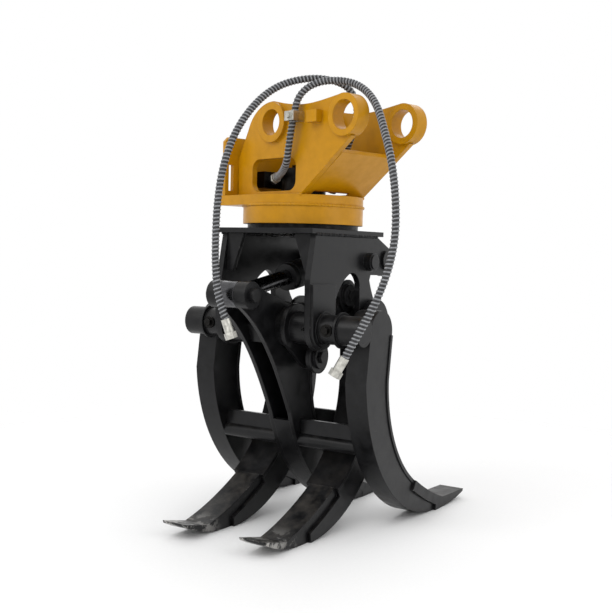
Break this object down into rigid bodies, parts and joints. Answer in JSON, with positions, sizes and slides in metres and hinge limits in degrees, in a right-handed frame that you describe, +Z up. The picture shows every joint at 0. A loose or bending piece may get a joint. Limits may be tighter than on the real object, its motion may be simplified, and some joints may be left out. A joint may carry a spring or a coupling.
{
  "type": "log grapple",
  "caption": "Excavator log grapple: slewing hitch on a turntable, two crossing curved-tine jaws worked by a hydraulic cylinder, with hoses.",
  "frame": {"origin": "centre of the stick-pin bore in the hitch, midway between the cheeks; at rest the jaws stand on the ground 1066 mm below", "axes": "+Z up along the slew axis, +X the way the jaws open, +Y along the jaw pivots; the hitch is slewed 14 degrees"},
  "size_m": [0.8667, 0.7022, 1.1857],
  "materials": {
    "yellow_paint": "semi-gloss yellow enamel",
    "black_paint": "semi-gloss black, scuffed",
    "worn_black_paint": "black paint worn to steel at the toes",
    "dark_steel": "oiled dark steel",
    "chromed_rod": "hard-chromed rod",
    "zinc_steel": "zinc-plated",
    "hose_rubber": "matt hose with spiral guard"
  },
  "bodies": {
    "hitch": {"far_cheek": "yellow_paint", "front_cross_plate": "yellow_paint", "hitch_base_plate": "yellow_paint", "hose_1": "hose_rubber", "hose_1_end_fitting": "zinc_steel", "hose_1_port_fitting": "zinc_steel", "hose_2": "hose_rubber", "hose_2_end_fitting": "zinc_steel", "hose_2_port_fitting": "zinc_steel", "hose_clamp": "zinc_steel", "near_cheek": "yellow_paint", "rear_cross_plate": "yellow_paint", "rotary_manifold": "dark_steel", "slew_motor": "dark_steel", "turntable_ring": "yellow_paint"},
    "head": {"head_top_plate": "black_paint", "near_side_plate": "black_paint", "far_side_plate": "black_paint", "pivot_bushes": "dark_steel", "cylinder_base_pin": "black_paint", "base_pin_spacers": "black_paint", "bearing_inner_ring": "dark_steel", "bearing_bolts": "dark_steel"},
    "jaw_right": {"centre_back_plate": "black_paint", "centre_cover": "black_paint", "centre_toe": "worn_black_paint", "far_arm_plate": "black_paint", "far_cross_member": "black_paint", "far_pivot_tube": "black_paint", "far_tine_channel": "black_paint", "far_tine_cover": "black_paint", "far_tine_toe": "worn_black_paint", "near_arm_plate": "black_paint", "near_cross_member": "black_paint", "near_pivot_tube": "black_paint", "near_tine_channel": "black_paint", "near_tine_cover": "black_paint", "near_tine_toe": "worn_black_paint", "right_hub": "black_paint", "right_pivot_shaft": "black_paint", "right_sync_pin": "black_paint", "rod_eye_pin": "black_paint", "shaft_lock_bolts": "dark_steel"},
    "jaw_left": {"far_fork_channel": "black_paint", "far_fork_cover": "black_paint", "far_fork_toe": "worn_black_paint", "left_cross_member": "black_paint", "left_hub": "black_paint", "left_pivot_shaft": "black_paint", "left_sync_pin": "black_paint", "near_fork_channel": "black_paint", "near_fork_cover": "black_paint", "near_fork_toe": "worn_black_paint"},
    "sync_link": {"sync_link": "black_paint"},
    "cylinder_barrel": {"cylinder_base_eye": "black_paint", "cylinder_barrel": "black_paint", "cylinder_gland": "black_paint"},
    "cylinder_rod": {"cylinder_rod": "chromed_rod", "cylinder_piston": "dark_steel"}
  },
  "joints": [
    {"name": "slew", "type": "hinge", "parent": "hitch", "child": "head", "pos_m": [0.06532, 0.26198, -0.266], "axis": [0, 0, 1], "continuous": true},
    {"name": "jaw_r_hinge", "type": "hinge", "parent": "head", "child": "jaw_right", "pos_m": [-0.05968, 0.26198, -0.53], "axis": [0, 1, 0], "range_deg": [0, 58]},
    {"name": "jaw_l_hinge", "type": "hinge", "parent": "head", "child": "jaw_left", "pos_m": [0.19032, 0.26198, -0.53], "axis": [0, -1, 0], "range_deg": [0, 58]},
    {"name": "link_hinge", "type": "hinge", "parent": "jaw_left", "child": "sync_link", "pos_m": [0.13526, 0.16598, -0.45136], "axis": [0, -1, 0], "range_deg": [-78.59, 0]},
    {"name": "barrel_hinge", "type": "hinge", "parent": "head", "child": "cylinder_barrel", "pos_m": [0.27232, 0.26198, -0.353], "axis": [0, 1, 0], "range_deg": [0, 13.78]},
    {"name": "rod_slide", "type": "slide", "parent": "cylinder_barrel", "child": "cylinder_rod", "axis": [0.9846, 0, 0.175], "range_m": [0, 0.15387]}
  ],
  "couplings": [
    {"joint": "jaw_l_hinge", "follows": "jaw_r_hinge", "ratio": 1},
    {"joint": "link_hinge", "follows": "jaw_r_hinge", "ratio": -1.355},
    {"joint": "barrel_hinge", "follows": "jaw_r_hinge", "ratio": 0.2375},
    {"joint": "rod_slide", "follows": "jaw_r_hinge", "m_per_rad": 0.152}
  ]
}
